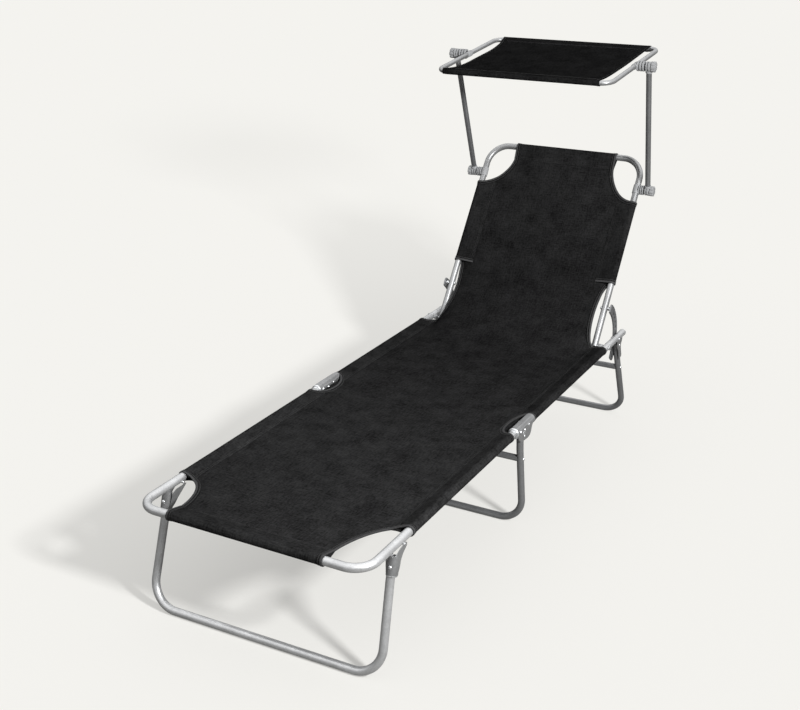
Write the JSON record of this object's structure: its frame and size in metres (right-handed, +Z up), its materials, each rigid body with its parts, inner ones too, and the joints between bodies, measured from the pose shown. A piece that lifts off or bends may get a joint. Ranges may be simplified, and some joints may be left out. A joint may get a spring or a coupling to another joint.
{
  "type": "sun lounger with canopy",
  "caption": "Folding sun lounger: steel tube frame with a stretched cloth, a backrest that tilts on two slotted struts, and a small canopy on two arms.",
  "frame": {"origin": "on the floor, under the middle of the whole lounger's box", "axes": "+Y from the foot end to the head end, +X to the right seen from the foot end, +Z up"},
  "size_m": [0.6036, 1.7122, 1.0455],
  "materials": {
    "steel": "silver-grey powder coat, satin",
    "zinc": "zinc plated, bright",
    "plastic": "grey moulded plastic, satin",
    "cloth": "near-black woven polyester, matt"
  },
  "bodies": {
    "seat_frame": {"left_seat_rail": "steel", "right_seat_rail": "steel", "left_rail_cap": "plastic", "right_rail_cap": "plastic", "left_hinge_bracket": "steel", "right_hinge_bracket": "steel", "left_bracket_rivet": "zinc", "right_bracket_rivet": "zinc", "left_hinge_pin": "zinc", "right_hinge_pin": "zinc", "left_rear_bracket": "steel", "right_rear_bracket": "steel", "left_rear_bracket_rivet": "zinc", "right_rear_bracket_rivet": "zinc", "left_rear_leg_pin": "zinc", "right_rear_leg_pin": "zinc", "left_stop_pin": "zinc", "right_stop_pin": "zinc", "left_back_bolt": "zinc", "right_back_bolt": "zinc", "seat_cloth": "cloth"},
    "foot_frame": {"foot_frame_tube": "steel", "left_hinge_liner": "zinc", "right_hinge_liner": "zinc", "left_liner_rivet": "zinc", "right_liner_rivet": "zinc", "left_front_leg_pin": "zinc", "right_front_leg_pin": "zinc", "foot_cloth": "cloth"},
    "front_leg": {"front_leg_tube": "steel", "left_front_leg_channel": "steel", "right_front_leg_channel": "steel"},
    "middle_leg": {"middle_leg_tube": "steel", "middle_cross_tube": "steel"},
    "rear_leg": {"rear_leg_tube": "steel", "rear_cross_tube": "steel"},
    "backrest": {"backrest_tube": "steel", "back_cloth": "cloth", "left_strut_bolt": "zinc", "right_strut_bolt": "zinc", "left_lower_clamp": "plastic", "right_lower_clamp": "plastic"},
    "left_strut": {"left_strut": "steel"},
    "right_strut": {"right_strut": "steel"},
    "canopy_arms": {"left_lower_fitting": "plastic", "right_lower_fitting": "plastic", "left_upper_fitting": "plastic", "right_upper_fitting": "plastic", "left_canopy_arm": "steel", "right_canopy_arm": "steel"},
    "canopy": {"front_canopy_bow": "steel", "back_canopy_bow": "steel", "canopy_cloth": "cloth", "left_upper_clamp": "plastic", "right_upper_clamp": "plastic"},
    "left_lower_knob": {"left_lower_knob": "plastic"},
    "right_lower_knob": {"right_lower_knob": "plastic"},
    "left_upper_knob": {"left_upper_knob": "plastic"},
    "right_upper_knob": {"right_upper_knob": "plastic"}
  },
  "joints": [
    {"name": "foot_fold", "type": "hinge", "parent": "seat_frame", "child": "foot_frame", "pos_m": [0, -0.11479, 0.24837], "axis": [1, 0, 0], "range_deg": [0, 170]},
    {"name": "front_leg_fold", "type": "hinge", "parent": "foot_frame", "child": "front_leg", "pos_m": [0, -0.70979, 0.26797], "axis": [1, 0, 0], "range_deg": [0, 105]},
    {"name": "middle_leg_fold", "type": "hinge", "parent": "seat_frame", "child": "middle_leg", "pos_m": [0, -0.11479, 0.24837], "axis": [1, 0, 0], "range_deg": [0, 80]},
    {"name": "rear_leg_fold", "type": "hinge", "parent": "seat_frame", "child": "rear_leg", "pos_m": [0, 0.56521, 0.24837], "axis": [1, 0, 0], "range_deg": [-100, 0]},
    {"name": "backrest_tilt", "type": "hinge", "parent": "seat_frame", "child": "backrest", "pos_m": [0, 0.48321, 0.26797], "axis": [1, 0, 0], "range_deg": [-53.75, 21]},
    {"name": "left_strut_release", "type": "hinge", "parent": "backrest", "child": "left_strut", "pos_m": [0, 0.54885, 0.35749], "axis": [1, 0, 0], "range_deg": [0, 2]},
    {"name": "right_strut_release", "type": "hinge", "parent": "backrest", "child": "right_strut", "pos_m": [0, 0.54885, 0.35749], "axis": [1, 0, 0], "range_deg": [0, 2]},
    {"name": "canopy_arm_tilt", "type": "hinge", "parent": "backrest", "child": "canopy_arms", "pos_m": [0, 0.76349, 0.65023], "axis": [1, 0, 0], "range_deg": [-50, 85]},
    {"name": "canopy_tilt", "type": "hinge", "parent": "canopy_arms", "child": "canopy", "pos_m": [0, 0.65181, 1.01217], "axis": [1, 0, 0], "range_deg": [-75, 75]},
    {"name": "left_lower_knob_turn", "type": "hinge", "parent": "canopy_arms", "child": "left_lower_knob", "pos_m": [0, 0.76349, 0.65023], "axis": [1, 0, 0], "range_deg": [0, 360]},
    {"name": "right_lower_knob_turn", "type": "hinge", "parent": "canopy_arms", "child": "right_lower_knob", "pos_m": [0, 0.76349, 0.65023], "axis": [1, 0, 0], "range_deg": [0, 360]},
    {"name": "left_upper_knob_turn", "type": "hinge", "parent": "canopy_arms", "child": "left_upper_knob", "pos_m": [0, 0.65181, 1.01217], "axis": [1, 0, 0], "range_deg": [0, 360]},
    {"name": "right_upper_knob_turn", "type": "hinge", "parent": "canopy_arms", "child": "right_upper_knob", "pos_m": [0, 0.65181, 1.01217], "axis": [1, 0, 0], "range_deg": [0, 360]}
  ],
  "couplings": [
    {"joint": "front_leg_fold", "follows": "foot_fold", "ratio": 0.6176},
    {"joint": "middle_leg_fold", "follows": "foot_fold", "ratio": 0.47}
  ]
}
